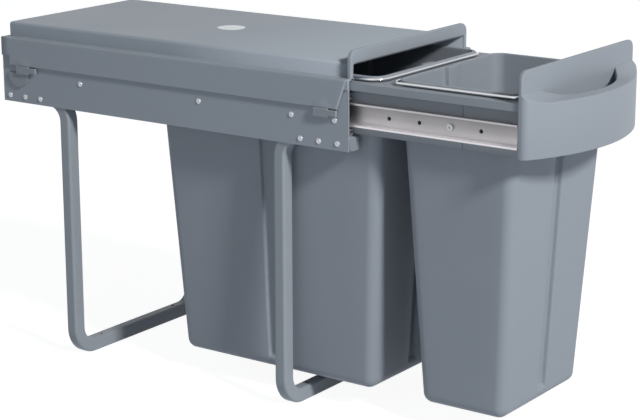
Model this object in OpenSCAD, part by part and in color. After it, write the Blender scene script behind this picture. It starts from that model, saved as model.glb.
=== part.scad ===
// Pull-out waste unit for a narrow kitchen cabinet: two lift-out bins hang in a carrier that runs
// on ball slides between two side plates, under a fixed lid, on two bent tube legs.
// Frame of the part: +Z up, the drawer opens towards -Y, the origin lies on the floor in the
// middle of the four floor screw holes. Left is -X, as seen by a person who pulls the drawer.

/* [Overall] */
// Width over the two skirts of the lid
lid_w = 253; // [240:1:290]
// Length of the side plates
plate_l = 505; // [490:1:560]
// Distance by which the drawer stands open as modelled
drawer_out = 203; // [150:1:215]
// Length of each slide member
slide_l = 500; // [480:1:504]

/* [Side plates] */
// Height of the plates' lower edge over the floor
leg_h = 310; // [280:1:360]
// Height of a side plate
plate_h = 67; // [64:1:80]
// Thickness of a side plate
plate_t = 1.5; // [1:0.1:2.5]

/* [Legs] */
// Distance between the uprights of the two legs, centre to centre
leg_span = 316; // [260:1:340]
// Width of the leg tube across the unit
tube_w = 17; // [14:0.5:20]
// Depth of the leg tube along the unit
tube_d = 15; // [12:0.5:15]
// Wall of the leg tube
tube_t = 1.5; // [1:0.1:2]
// Radius of the tube's long edges
tube_r = 3; // [2:0.5:5]
// Bend radius under the side plate, to the tube's centre line
top_bend_r = 25; // [18:1:30]
// Bend radius at the floor, to the tube's centre line
foot_bend_r = 27; // [18:1:30]
// Distance between the two floor screw holes of one leg
floor_hole_w = 140; // [80:1:170]
// Radius of a floor screw hole
floor_hole_r = 2.5; // [2:0.1:3.5]

/* [Slides] */
// Depth of a whole slide, plate to carrier
slide_d = 12.7; // [12.5:0.1:13.5]
// Height of the inner slide member
inner_h = 25.5; // [22:0.5:26]
// Sheet thickness of the slide members
slide_t = 1.2; // [1:0.05:1.3]
// Height of the slides' centre line over the plates' lower edge
slide_rise = 39.5; // [38:0.5:42]
// Diameter of a bearing ball
ball_d = 3.6; // [3:0.1:3.8]
// Number of balls in one row of a cage
balls_per_row = 6; // [3:1:8]

/* [Bins] */
// Length over the rim of the rear bin
rear_bin_l = 312.8; // [280:1:317]
// Length over the rim of the front bin
front_bin_l = 148.5; // [120:1:152]
// Wall thickness of a bin
bin_wall = 2; // [1.5:0.1:3]
// Amount by which each wall leans in over the depth
bin_draft = 19.5; // [10:0.5:24]

/* [Front panel] */
// Height of the front panel
panel_h = 90; // [85:1:110]
// Thickness of the front panel's plate
panel_t = 4; // [3:0.5:6]
// How far the handle stands out from the panel's plate
handle_out = 39.5; // [34:0.5:50]
// Thickness of the handle's bar
handle_t = 13; // [11:0.5:18]
// Height of the handle
handle_h = 59.5; // [50:0.5:75]

/* [Lid] */
// Wall thickness of the lid
lid_t = 2.2; // [1.6:0.1:3]
// Height of the lid's crown over its ledge
crown_h = 16.5; // [15:0.5:30]
// Height of the lid's front rim over the crown
portal_rise = 13.5; // [8:0.5:25]

/* [Hidden] */
$fn = 48;
hull_fn = 32;
// overrun of cuts past the faces that they open
over = 1;
// running gap between sliding sheets
gap = 0.3;

// side plates
plate_top = leg_h + plate_h;
skirt_gap = 0.8;
plate_x = lid_w / 2 - lid_t - skirt_gap;
plate_in = plate_x - plate_t;
plate_front = -plate_l / 2;
plate_rear = plate_l / 2;

// legs
tube_x = plate_in - tube_w / 2;
run_z = leg_h + tube_d / 2;
cap_t = 1.5;
cap_plug = 6;
cap_gap = 0.1;

// rivets
rivet_head_r = 3.3;
rivet_head_h = 0.7;
rivet_dome_h = 0.7;
rivet_shank_r = 2;
rivet_gap = 0.05;
rivet_tail_r = 3;
rivet_tail_h = 2;
rivet_pitch = 24.4;
front_rivet_inset = 14.5;
rear_rivet_inset = 10.5;
leg_rivet_z = leg_h + tube_d / 2;
slide_rivet_drop = 6.9;
slide_rivet_insets = [18, 75, 203.5, 381];

// slides, measured from a plate's inner face towards the middle
slide_z = leg_h + slide_rise;
slide_rivet_z = slide_z - slide_rivet_drop;
slide_front = -slide_l / 2;
ball_gap = 0.15;
ball_lane = ball_d + 2 * ball_gap;
middle_in = inner_h / 2 + ball_lane;
middle_out = middle_in + slide_t;
outer_in = middle_out + ball_lane;
outer_out = outer_in + slide_t;
cage_t = 0.6;
outer_cage_x = slide_t + gap;
middle_x = outer_cage_x + cage_t + gap;
inner_cage_x = middle_x + slide_t + gap;
inner_edge_x = inner_cage_x + cage_t + gap;
outer_depth = 10.5;
middle_depth = 10;
outer_lip = 1.7;
inner_lip = 2.2;
outer_ball_x = 6.3;
inner_ball_x = 7.4;
cage_margin = 0.8;
ball_pitch = 30;
cage_l = balls_per_row * ball_pitch;
slide_hole_r = 2.25;
slide_hole_insets = [45.5, 120, 157.5];

// drawer
panel_gap = 1.75;
lid_inset = 1.25;
lid_front = plate_front + lid_inset;
lid_rear = plate_rear - lid_inset;
panel_y = lid_front - panel_gap - drawer_out;
inner_front = slide_front - drawer_out;

// carrier
carrier_rise = 7.5;
carrier_z = plate_top + carrier_rise;
carrier_t = 3;
carrier_side_gap = 2.5;
carrier_x = plate_in - carrier_side_gap;
carrier_lip_t = 2;
carrier_lip_h = 8;
web_x = plate_in - slide_d;
web_t = 2.8;
web_rise = 18;
web_z = leg_h + web_rise;
bracket_l = 71;
seam_gap = 0.6;
seam_y = panel_y + bracket_l;
front_bar = 10;
rear_bar = 5;
rim_space = 19.1;
end_web_h = 15;
window_gap = 1;

// bins
rim_h = 5.8;
rim_over = 2;
rim_r = 16;
bin_top_r = 14;
bin_foot_r = 12;
groove_w = 17.5;
groove_d = 5.2;
groove_top = 1;
bin_side_space = 2.5;
bin_floor_space = 13;
bin_w = 2 * (web_x - web_t - bin_side_space);
front_bin_y = panel_y + front_bar;
rear_bin_y = front_bin_y + front_bin_l + rim_space;
bin_z = tube_w + bin_floor_space;
bin_depth = carrier_z - bin_z;
rim_z = carrier_z + rim_h;
carrier_rear = rear_bin_y + rear_bin_l + rear_bar;

// bails
wire_r = 1.6;
wire_lift = 1.1;
wire_side = 0.5;
wire_z = carrier_z + wire_lift + wire_r;
pivot_gap = 0.06;
rear_bail_r = rim_r + wire_side + wire_r;
front_bail_r = 10;
wire_end_r = 2;
wire_in = 0.3;

// brackets and screws
bracket_t = 2;
bracket_foot = 17;
bracket_lap = 30;
bracket_h = 40;
joggle_l = 2;
screw_head_r = 3.6;
screw_head_h = 2;
screw_r = 1.75;
screw_gap = 0.05;
screw_l = 9;
carrier_screw_insets = [82, 250, 440];
panel_screw_inset = 8.3;
panel_screw_x = web_x - panel_screw_inset;
panel_screw_insets = [9, 31];
panel_screw_l = 9;

// front panel
panel_w = 2 * plate_in;
panel_z = web_z;
panel_r = 10;
side_step = 0.5;
pocket_inset = 41.5;
handle_x = panel_w / 2 - side_step;
handle_face = panel_y - panel_t;
handle_end = 4.5;
bow = handle_out - handle_end;
bow_r = (handle_x * handle_x + bow * bow) / (2 * bow);
bow_y = handle_face - handle_out + bow_r;
pocket_x = handle_x - pocket_inset;
pocket_out = handle_out - handle_t;
pocket_r = (pocket_x * pocket_x + pocket_out * pocket_out) / (2 * pocket_out);
pocket_y = handle_face - pocket_out + pocket_r;
handle_fall = 2.5;
pocket_floor = 7;

// lid
ledge_gap = 1.3;
ledge_z = carrier_z + ledge_gap + lid_t;
ledge_w = 13.5;
crown_w = lid_w - 2 * ledge_w;
crown_z = ledge_z + crown_h;
crown_edge_r = 3.5;
crown_corner_r = 4.5;
portal_t = 5;
portal_r = 10;
portal_side = 4.5;
portal_w = crown_w + 2 * portal_side;
portal_lap = 1.5;
portal_z = ledge_z - portal_lap;
portal_lip = 1;
portal_open_x = crown_w / 2 - portal_lip;
portal_open_z = crown_z - portal_lip;
skirt_h = 32.5;
skirt_z = ledge_z - skirt_h;
skirt_step_h = 22;
skirt_step_z = ledge_z - skirt_step_h;
skirt_step_y = 10.5;
skirt_rake = 12;
badge_r = 16.5;
badge_t = 0.4;
seat_l = 40;
seats = 5;

// lid clips
clip_out = 5;
clip_l = 19.5;
clip_h = 10;
clip_tab_l = 11;
clip_tab_h = 6.5;
clip_tab_t = 3.5;
clip_tab_lift = 2;
front_clip_y = lid_front + skirt_rake + clip_tab_l;
rear_clip_inset = 44;
rear_clip_y = lid_rear - rear_clip_inset;
clip_gap = 0.3;
clip_z = skirt_z - clip_gap - clip_h;
disc_r = 16;
disc_t = 2.6;
disc_setback = 1;

// puts a piece that is drawn for the right side on the right (1) or the left (-1)
module on_side(side) {
    if (side > 0) children();
    else mirror([1, 0, 0]) children();
}

// a rectangle with round corners, centred
module round_rect(w, h, r) {
    square([w - 2 * r, h], center = true);
    square([w, h - 2 * r], center = true);
    for (x = [-1, 1], y = [-1, 1])
        translate([x * (w / 2 - r), y * (h / 2 - r)]) circle(r);
}

// a hole or shank along +X, from x0 for the length l
module x_rod(x0, y, z, r, l) {
    translate([x0, y, z]) rotate([0, 90, 0]) cylinder(r = r, h = l);
}

// a hole or shank along -Y, from y0 for the length l
module y_rod(x, y0, z, r, l) {
    translate([x, y0, z]) rotate([90, 0, 0]) cylinder(r = r, h = l);
}

// Rivet places along Y

function leg_rivet_ys() = concat(
    [for (k = [0:2]) plate_front + front_rivet_inset + k * rivet_pitch],
    [for (k = [0:2]) plate_rear - rear_rivet_inset - k * rivet_pitch]);

function slide_rivet_ys() = [for (inset = slide_rivet_insets) plate_front + inset];

// a round rivet head with a low dome, standing out from x0 along +X
module rivet_head(x0, y, z) {
    dome_r = (rivet_head_r * rivet_head_r + rivet_dome_h * rivet_dome_h) / (2 * rivet_dome_h);
    translate([x0, y, z]) rotate([0, 90, 0]) {
        cylinder(r = rivet_head_r, h = rivet_head_h);
        intersection() {
            translate([0, 0, rivet_head_h + rivet_dome_h - dome_r]) sphere(dome_r, $fn = hull_fn);
            translate([0, 0, rivet_head_h]) cylinder(r = rivet_head_r, h = 2 * rivet_dome_h);
        }
    }
}

// Side plates

module side_plate(side) {
    color([0.47, 0.50, 0.53]) on_side(side) difference() {
        translate([plate_in, plate_front, leg_h]) cube([plate_t, plate_l, plate_h]);
        for (y = leg_rivet_ys())
            x_rod(plate_in - over, y, leg_rivet_z, rivet_shank_r + rivet_gap, plate_t + 2 * over);
        for (y = slide_rivet_ys())
            x_rod(plate_in - over, y, slide_rivet_z, rivet_shank_r + rivet_gap, plate_t + 2 * over);
    }
}

// Legs: a round-cornered tube that comes down from each side plate and crosses on the floor

module tube_section(w, h, inner) {
    cut = inner ? 2 * tube_t : 0;
    round_rect(w - cut, h - cut, inner ? tube_r - tube_t : tube_r);
}

module tube_wall(w, h) {
    difference() {
        tube_section(w, h, false);
        tube_section(w, h, true);
    }
}

// the half of a leg on the +X side, for a leg whose upright stands at +y
module half_leg(y) {
    run_y = y + top_bend_r;
    up_z = tube_w / 2 + foot_bend_r;
    foot_x = tube_x - foot_bend_r;
    translate([tube_x, plate_rear, run_z]) rotate([90, 0, 0])
        linear_extrude(plate_rear - run_y) tube_wall(tube_w, tube_d);
    translate([tube_x, run_y, run_z - top_bend_r]) rotate([90, 0, 90]) rotate([0, 0, 90])
        rotate_extrude(angle = 90) translate([top_bend_r, 0]) tube_wall(tube_d, tube_w);
    translate([tube_x, y, up_z])
        linear_extrude(run_z - top_bend_r - up_z) tube_wall(tube_w, tube_d);
    translate([foot_x, y, up_z]) rotate([90, 0, 0]) rotate([0, 0, -90])
        rotate_extrude(angle = 90) translate([foot_bend_r, 0]) tube_wall(tube_w, tube_d);
    translate([0, y, tube_w / 2]) rotate([90, 0, 90])
        linear_extrude(foot_x) tube_wall(tube_d, tube_w);
}

module whole_leg(end) {
    y = leg_span / 2;
    color([0.45, 0.48, 0.51]) difference() {
        mirror([0, end > 0 ? 0 : 1, 0]) {
            half_leg(y);
            mirror([1, 0, 0]) half_leg(y);
        }
        for (x = [-1, 1])
            translate([x * floor_hole_w / 2, end * y, -over])
                cylinder(r = floor_hole_r, h = tube_w + 2 * over);
        for (side = [-1, 1], ry = leg_rivet_ys())
            if (ry * end > 0) on_side(side)
                x_rod(plate_in - tube_t - over, ry, leg_rivet_z, rivet_shank_r + rivet_gap,
                      tube_t + 2 * over);
    }
}

module leg_end_cap() {
    plug_w = tube_w - 2 * tube_t - 2 * cap_gap;
    plug_d = tube_d - 2 * tube_t - 2 * cap_gap;
    translate([tube_x, plate_rear, run_z]) rotate([-90, 0, 0]) {
        linear_extrude(cap_t) round_rect(tube_w, tube_d, tube_r);
        translate([0, 0, -cap_plug]) linear_extrude(cap_plug)
            round_rect(plug_w, plug_d, tube_r - tube_t);
    }
}

module leg_end_caps() {
    color([0.55, 0.58, 0.61])
        for (side = [-1, 1], end = [0, 1])
            on_side(side) mirror([0, end, 0]) leg_end_cap();
}

// blind rivets that hold the legs: head outside, set tail inside the tube
module leg_rivets() {
    color([0.78, 0.79, 0.80])
        for (side = [-1, 1], y = leg_rivet_ys()) on_side(side) {
            rivet_head(plate_x, y, leg_rivet_z);
            x_rod(plate_x - plate_t - tube_t, y, leg_rivet_z, rivet_shank_r, plate_t + tube_t);
            x_rod(plate_in - tube_t - rivet_tail_h, y, leg_rivet_z, rivet_tail_r, rivet_tail_h);
        }
}

// Slides: each member is a folded strip; d is the depth from the plate, h the height

module strip(d0, d1, h0, h1) {
    translate([-d1, h0]) square([d1 - d0, h1 - h0]);
}

module strip_pair(d0, d1, h0, h1) {
    strip(d0, d1, h0, h1);
    strip(d0, d1, -h1, -h0);
}

// extrudes a member's section along Y from y0 for the length l, on the right slide
module member(y0, l) {
    translate([plate_in, y0 + l, slide_z]) rotate([90, 0, 0]) linear_extrude(l) children();
}

module slide_outer(side) {
    color([0.72, 0.72, 0.71]) on_side(side) difference() {
        member(slide_front, slide_l) {
            strip(0, slide_t, -outer_out, outer_out);
            strip_pair(0, outer_depth, outer_in, outer_out);
            strip_pair(outer_depth - slide_t, outer_depth, outer_in - outer_lip, outer_in);
        }
        for (y = slide_rivet_ys())
            x_rod(plate_in - slide_t - over, y, slide_rivet_z, rivet_shank_r + rivet_gap,
                  slide_t + 2 * over);
    }
}

// rivets that hold the outer members, set flush inside them
module slide_rivets() {
    color([0.78, 0.79, 0.80])
        for (side = [-1, 1], y = slide_rivet_ys()) on_side(side) {
            rivet_head(plate_x, y, slide_rivet_z);
            x_rod(plate_in - slide_t, y, slide_rivet_z, rivet_shank_r, plate_t + slide_t);
        }
}

module slide_middle(side) {
    color([0.72, 0.72, 0.71]) on_side(side) member(slide_front, slide_l) {
        strip(middle_x, middle_x + slide_t, -middle_out, middle_out);
        strip_pair(middle_x, middle_depth, middle_in, middle_out);
    }
}

module slide_inner(side) {
    web_out = slide_d - slide_t;
    color([0.76, 0.74, 0.72]) on_side(side) difference() {
        member(inner_front, slide_l) {
            strip(web_out, slide_d, -inner_h / 2, inner_h / 2);
            strip_pair(inner_edge_x, slide_d, inner_h / 2 - slide_t, inner_h / 2);
            strip_pair(inner_edge_x, inner_edge_x + slide_t, inner_h / 2 - inner_lip, inner_h / 2);
        }
        for (inset = slide_hole_insets)
            x_rod(web_x - over, inner_front + inset, slide_z, slide_hole_r, slide_t + 2 * over);
        for (inset = carrier_screw_insets)
            x_rod(web_x - over, inner_front + inset, slide_z, screw_r + screw_gap,
                  slide_t + 2 * over);
    }
}

// Ball cages and balls; c is the middle of the cage along Y, lane the height of its ball rows

outer_lane = (middle_out + outer_in) / 2;
inner_lane = (inner_h / 2 + middle_in) / 2;
inner_cage_y = -drawer_out / 2;

function ball_ys(c) = [for (k = [0:balls_per_row - 1])
    c + (k - (balls_per_row - 1) / 2) * ball_pitch];

module cage(side, c, x, lane, ball_x) {
    reach = ball_x + ball_d / 2 + cage_margin;
    color([0.62, 0.60, 0.55]) on_side(side) difference() {
        member(c - cage_l / 2, cage_l) {
            strip(x, x + cage_t, -lane - cage_t / 2, lane + cage_t / 2);
            strip_pair(x, reach, lane - cage_t / 2, lane + cage_t / 2);
        }
        for (y = ball_ys(c), row = [-1, 1])
            translate([plate_in - ball_x, y, slide_z + row * lane])
                cylinder(r = ball_d / 2 + ball_gap, h = ball_d, center = true);
    }
}

module balls(c, lane, ball_x) {
    color([0.85, 0.85, 0.86])
        for (side = [-1, 1], y = ball_ys(c), row = [-1, 1])
            on_side(side) translate([plate_in - ball_x, y, slide_z + row * lane])
                sphere(ball_d / 2, $fn = 24);
}

// Bin carrier: a moulded frame with two windows, an outer lip and webs down to the slides

module window(y0, l) {
    translate([0, y0 + l / 2, carrier_z - carrier_t - over])
        linear_extrude(carrier_t + 2 * over)
            round_rect(bin_w - 2 * rim_over + 2 * window_gap, l - 2 * rim_over + 2 * window_gap,
                       bin_top_r + window_gap);
}

module bin_carrier() {
    length = carrier_rear - panel_y;
    under_z = carrier_z - carrier_t;
    color([0.42, 0.45, 0.48]) difference() {
        union() {
            translate([-carrier_x, panel_y, under_z]) cube([2 * carrier_x, length, carrier_t]);
            for (side = [-1, 1]) on_side(side) {
                translate([carrier_x - carrier_lip_t, panel_y, carrier_z - carrier_lip_h])
                    cube([carrier_lip_t, length, carrier_lip_h - carrier_t]);
                translate([web_x - web_t, seam_y + seam_gap, web_z])
                    cube([web_t, carrier_rear - seam_y - seam_gap, under_z - web_z]);
            }
            for (y = [panel_y, carrier_rear - web_t])
                translate([-web_x + web_t, y, carrier_z - end_web_h])
                    cube([2 * (web_x - web_t), web_t, end_web_h - carrier_t]);
        }
        window(front_bin_y, front_bin_l);
        window(rear_bin_y, rear_bin_l);
        for (side = [-1, 1]) on_side(side) {
            for (inset = carrier_screw_insets)
                x_rod(web_x - web_t - over, inner_front + inset, slide_z, screw_r + screw_gap,
                      web_t + 2 * over);
            for (inset = slide_hole_insets)
                x_rod(web_x - web_t - over, inner_front + inset, slide_z, slide_hole_r,
                      web_t + 2 * over);
        }
    }
}

// steel brackets that carry the front panel and lap inside the carrier's webs
module panel_bracket(side) {
    lap_x = web_x - web_t - bracket_t;
    height = carrier_z - carrier_t - web_z;
    color([0.40, 0.43, 0.46]) on_side(side) difference() {
        union() {
            translate([web_x - bracket_t, panel_y, web_z])
                cube([bracket_t, seam_y - panel_y, height]);
            translate([web_x - bracket_foot, panel_y, web_z])
                cube([bracket_foot, bracket_t, bracket_h]);
            translate([lap_x, seam_y - joggle_l, web_z])
                cube([web_x - lap_x, joggle_l, height]);
            translate([lap_x, seam_y - joggle_l, web_z])
                cube([bracket_t, bracket_lap + joggle_l, height]);
        }
        for (inset = concat(slide_hole_insets, [carrier_screw_insets[0]]))
            x_rod(lap_x - over, inner_front + inset, slide_z,
                  inset == carrier_screw_insets[0] ? screw_r + screw_gap : slide_hole_r,
                  web_x - lap_x + 2 * over);
        for (inset = panel_screw_insets)
            y_rod(panel_screw_x, panel_y + bracket_t + over, web_z + inset, screw_r + screw_gap,
                  bracket_t + 2 * over);
    }
}

// screws from inside the slide members into the carrier's webs
module carrier_screws() {
    head_x = web_x + slide_t;
    color([0.80, 0.79, 0.76])
        for (side = [-1, 1], inset = carrier_screw_insets) on_side(side) {
            difference() {
                x_rod(head_x, inner_front + inset, slide_z, screw_head_r, screw_head_h);
                for (turn = [0, 90])
                    translate([head_x + screw_head_h, inner_front + inset, slide_z])
                        rotate([turn, 0, 0])
                            cube([screw_head_h, screw_head_r, screw_head_h / 2], center = true);
            }
            x_rod(head_x - screw_l, inner_front + inset, slide_z, screw_r, screw_l);
        }
}

// screws through the brackets' feet into the solid ends of the handle
module panel_screws() {
    color([0.80, 0.79, 0.76])
        for (side = [-1, 1], inset = panel_screw_insets) on_side(side) {
            y_rod(panel_screw_x, panel_y + bracket_t + screw_head_h, web_z + inset,
                  screw_head_r, screw_head_h);
            y_rod(panel_screw_x, panel_y + bracket_t, web_z + inset, screw_r, panel_screw_l);
        }
}

// Front panel: a plate with round upper corners and a bowed handle with a finger pocket

module panel_outline() {
    translate([-panel_w / 2, 0]) square([panel_w, panel_h - panel_r]);
    translate([-panel_w / 2 + panel_r, 0]) square([panel_w - 2 * panel_r, panel_h]);
    for (side = [-1, 1])
        translate([side * (panel_w / 2 - panel_r), panel_h - panel_r]) circle(panel_r);
}

// the bowed pull: its front is one long arc, its top falls a little towards it, and the finger pocket
// behind it is a segment of a smaller circle
module handle() {
    difference() {
        intersection() {
            translate([0, bow_y, panel_z]) rotate_extrude($fn = 360)
                polygon([[0, 0], [bow_r, 0], [bow_r, handle_h - handle_fall],
                         [bow_r - handle_t, handle_h], [0, handle_h]]);
            translate([-handle_x, handle_face - handle_out - over, panel_z - over])
                cube([2 * handle_x, handle_out + over + panel_t / 2, handle_h + 2 * over]);
        }
        translate([0, pocket_y, panel_z + pocket_floor]) cylinder(r = pocket_r, h = handle_h, $fn = 240);
    }
}

module front_panel() {
    color([0.60, 0.63, 0.66]) difference() {
        union() {
            translate([0, panel_y, panel_z]) rotate([90, 0, 0])
                linear_extrude(panel_t) panel_outline();
            handle();
        }
        for (side = [-1, 1], inset = panel_screw_insets) on_side(side)
            y_rod(panel_screw_x, panel_y + over, web_z + inset, screw_r + screw_gap,
                  panel_screw_l - bracket_t + over);
    }
}

// Bins: tapered tubs with round corners, a flat rim and a groove down the middle of each long wall

module tub(y0, l, inset) {
    half_w = bin_w / 2 - rim_over - inset;
    half_l = l / 2 - rim_over - inset;
    yc = y0 + l / 2;
    top_z = inset > 0 ? rim_z + over : rim_z;
    foot_r = bin_foot_r - inset;
    hull() for (x = [-1, 1], y = [-1, 1]) {
        translate([x * (half_w - bin_top_r + inset), yc + y * (half_l - bin_top_r + inset),
                   carrier_z])
            cylinder(r = bin_top_r - inset, h = top_z - carrier_z, $fn = hull_fn);
        translate([x * (half_w - bin_draft - foot_r), yc + y * (half_l - bin_draft - foot_r),
                   bin_z + bin_foot_r])
            sphere(foot_r, $fn = hull_fn);
    }
}

// upright bars that lean with the walls; depth d beyond the wall's outer face, from low to high
module wall_bars(y0, l, turns, w, d, low, high) {
    lean = atan(bin_draft / (bin_depth - bin_foot_r));
    half_w = bin_w / 2 - rim_over;
    half_l = l / 2 - rim_over;
    translate([0, y0 + l / 2, carrier_z])
        for (turn = turns) rotate([0, 0, 90 * turn])
            translate([turn % 2 == 0 ? half_w : half_l, 0, 0]) rotate([0, lean, 0])
                translate([-d, -w / 2, low]) cube([d + over, w, high - low]);
}

module bin(y0, l, turns, pivots) {
    yc = y0 + l / 2;
    foot = bin_foot_r - bin_depth;
    color([0.44, 0.47, 0.50]) difference() {
        union() {
            tub(y0, l, 0);
            translate([0, yc, carrier_z]) linear_extrude(rim_h) round_rect(bin_w, l, rim_r);
        }
        difference() {
            tub(y0, l, bin_wall);
            wall_bars(y0, l, turns, groove_w + 2 * bin_wall, groove_d + bin_wall, foot - bin_wall,
                      rim_h + over);
        }
        wall_bars(y0, l, turns, groove_w, groove_d, foot, -groove_top);
        for (p = pivots) translate([p[0], p[1], wire_z]) rotate([p[2], 90, 0])
            cylinder(r = wire_r + pivot_gap, h = 2 * (rim_over + bin_wall + over), center = true);
    }
}

module bin_rear() {
    yc = rear_bin_y + rear_bin_l / 2;
    bin(rear_bin_y, rear_bin_l, [0:3], [for (s = [-1, 1]) [s * bin_w / 2, yc, 0]]);
}

module bin_front() {
    yc = front_bin_y + front_bin_l / 2;
    bin(front_bin_y, front_bin_l, [1, 3], [for (s = [-1, 1]) [0, yc + s * front_bin_l / 2, 90]]);
}

// Wire bails: one round wire with its two ends turned in to the rim

// half of a bail in its own plane: the pivot at (x, 0), the arm along -y, the crossbar at y = -arm
module half_bail(x, arm, corner_r) {
    end_l = rim_over + bin_wall - wire_in + wire_side + wire_r - wire_end_r;
    translate([x - wire_end_r - end_l, 0, 0]) rotate([0, 90, 0]) cylinder(r = wire_r, h = end_l);
    translate([x - wire_end_r, -wire_end_r, 0]) rotate_extrude(angle = 90)
        translate([wire_end_r, 0]) circle(wire_r, $fn = 24);
    translate([x, -wire_end_r, 0]) rotate([90, 0, 0])
        cylinder(r = wire_r, h = arm - wire_end_r - corner_r);
    translate([x - corner_r, corner_r - arm, 0]) rotate([0, 0, -90]) rotate_extrude(angle = 90)
        translate([corner_r, 0]) circle(wire_r, $fn = 24);
    translate([0, -arm, 0]) rotate([0, 90, 0]) cylinder(r = wire_r, h = x - corner_r);
}

module bail(x, arm, corner_r) {
    half_bail(x, arm, corner_r);
    mirror([1, 0, 0]) half_bail(x, arm, corner_r);
}

rear_bail_x = bin_w / 2 + wire_side + wire_r;
rear_bail_arm = rear_bin_l / 2 + wire_side + wire_r;
front_bail_x = front_bin_l / 2 + wire_side + wire_r;
front_bail_arm = bin_w / 2 + wire_side + wire_r;

module bail_rear() {
    color([0.82, 0.83, 0.84]) translate([0, rear_bin_y + rear_bin_l / 2, wire_z])
        bail(rear_bail_x, rear_bail_arm, rear_bail_r);
}

module bail_front() {
    color([0.82, 0.83, 0.84]) translate([0, front_bin_y + front_bin_l / 2, wire_z])
        rotate([0, 0, -90]) bail(front_bail_x, front_bail_arm, front_bail_r);
}

// Lid: a crown over a ledge, skirts outside the side plates and a raised rim round the mouth

module crown_form(inset) {
    half_w = crown_w / 2 - inset;
    edge_r = crown_edge_r - inset;
    corner_r = crown_corner_r - inset;
    top_z = crown_z - inset;
    base_z = inset > 0 ? ledge_z - lid_t - over : ledge_z - lid_t;
    front_y = inset > 0 ? lid_front - over : lid_front;
    rear_y = lid_rear - inset;
    hull() for (x = [-1, 1]) {
        translate([x * (half_w - corner_r), rear_y - corner_r, base_z])
            cylinder(r = corner_r, h = top_z - edge_r - base_z, $fn = hull_fn);
        translate([x * (half_w - corner_r), rear_y - corner_r, top_z - edge_r])
            rotate_extrude($fn = hull_fn) translate([corner_r - edge_r, 0])
                circle(edge_r, $fn = hull_fn / 2);
        translate([x * (half_w - edge_r), front_y + edge_r, top_z - edge_r]) rotate([90, 0, 0])
            cylinder(r = edge_r, h = edge_r, $fn = hull_fn);
        translate([x * (half_w - edge_r), front_y, base_z])
            translate([x > 0 ? 0 : -edge_r, 0, 0]) cube([edge_r, edge_r, edge_r]);
    }
}

module portal_outline() {
    height = crown_z + portal_rise - portal_z;
    difference() {
        union() {
            translate([-portal_w / 2, 0]) square([portal_w, height - portal_r]);
            translate([-portal_w / 2 + portal_r, 0])
                square([portal_w - 2 * portal_r, height]);
            for (side = [-1, 1])
                translate([side * (portal_w / 2 - portal_r), height - portal_r])
                    circle(portal_r);
        }
        translate([-portal_open_x, -over])
            square([2 * portal_open_x, portal_open_z - portal_z + over]);
    }
}

module skirt() {
    translate([lid_w / 2 - lid_t, 0, 0]) rotate([90, 0, 90]) linear_extrude(lid_t) polygon([
        [lid_front, ledge_z], [lid_front + skirt_rake, skirt_z],
        [lid_rear - skirt_step_y - over, skirt_z], [lid_rear - skirt_step_y, skirt_step_z],
        [lid_rear, skirt_step_z], [lid_rear, ledge_z]]);
}

module lid() {
    ledge_in = crown_w / 2 - lid_t;
    seat_x = plate_in;
    seat_step = (plate_l - 2 * seat_l) / (seats - 1);
    color([0.62, 0.65, 0.68]) {
        difference() {
            crown_form(0);
            crown_form(lid_t);
        }
        translate([0, lid_front + portal_t, portal_z]) rotate([90, 0, 0])
            linear_extrude(portal_t) portal_outline();
        for (side = [-1, 1]) on_side(side) {
            translate([ledge_in, lid_front, ledge_z - lid_t])
                cube([lid_w / 2 - ledge_in, lid_rear - lid_front, lid_t]);
            skirt();
            for (k = [0:seats - 1])
                translate([seat_x, plate_front + seat_l / 2 + k * seat_step, plate_top])
                    cube([lid_w / 2 - seat_x - lid_t / 2, seat_l, ledge_z - lid_t / 2 - plate_top]);
        }
    }
}

// a plain blank disc in the middle of the lid
module lid_badge() {
    color([0.85, 0.88, 0.90]) translate([0, 0, crown_z]) cylinder(r = badge_r, h = badge_t);
}

// Clips on the side plates that hold the skirts down

module clip_body(y) {
    translate([plate_x, y, clip_z]) cube([clip_out, clip_l, clip_h]);
    translate([plate_x + clip_out - clip_tab_t, y - clip_tab_l, clip_z + clip_tab_lift])
        cube([clip_tab_t, clip_tab_l, clip_tab_h]);
}

module lid_clips_front() {
    color([0.58, 0.61, 0.64]) for (side = [-1, 1]) on_side(side) clip_body(front_clip_y);
}

module lid_clips_rear() {
    yc = rear_clip_y + clip_l - disc_setback;
    color([0.52, 0.55, 0.58]) for (side = [-1, 1]) on_side(side) {
        clip_body(rear_clip_y);
        intersection() {
            x_rod(plate_x, yc, clip_z, disc_r, disc_t);
            translate([plate_x, yc - disc_r, clip_z - disc_r])
                cube([disc_t, 2 * disc_r, disc_r + over]);
        }
    }
}

side_plate(-1);  // side_plate_left
side_plate(1);  // side_plate_right
whole_leg(-1);  // leg_front
whole_leg(1);  // leg_rear
leg_end_caps();
leg_rivets();
slide_outer(-1);  // slide_outer_left
slide_outer(1);  // slide_outer_right
slide_rivets();
lid();
lid_badge();
lid_clips_front();
lid_clips_rear();
cage(-1, 0, outer_cage_x, outer_lane, outer_ball_x);  // outer_cage_left
cage(1, 0, outer_cage_x, outer_lane, outer_ball_x);  // outer_cage_right
balls(0, outer_lane, outer_ball_x);  // outer_balls
slide_middle(-1);  // slide_middle_left
slide_middle(1);  // slide_middle_right
cage(-1, inner_cage_y, inner_cage_x, inner_lane, inner_ball_x);  // inner_cage_left
cage(1, inner_cage_y, inner_cage_x, inner_lane, inner_ball_x);  // inner_cage_right
balls(inner_cage_y, inner_lane, inner_ball_x);  // inner_balls
slide_inner(-1);  // slide_inner_left
slide_inner(1);  // slide_inner_right
carrier_screws();
bin_carrier();
panel_bracket(-1);  // panel_bracket_left
panel_bracket(1);  // panel_bracket_right
panel_screws();
front_panel();
bin_rear();
bin_front();
bail_rear();
bail_front();
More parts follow.
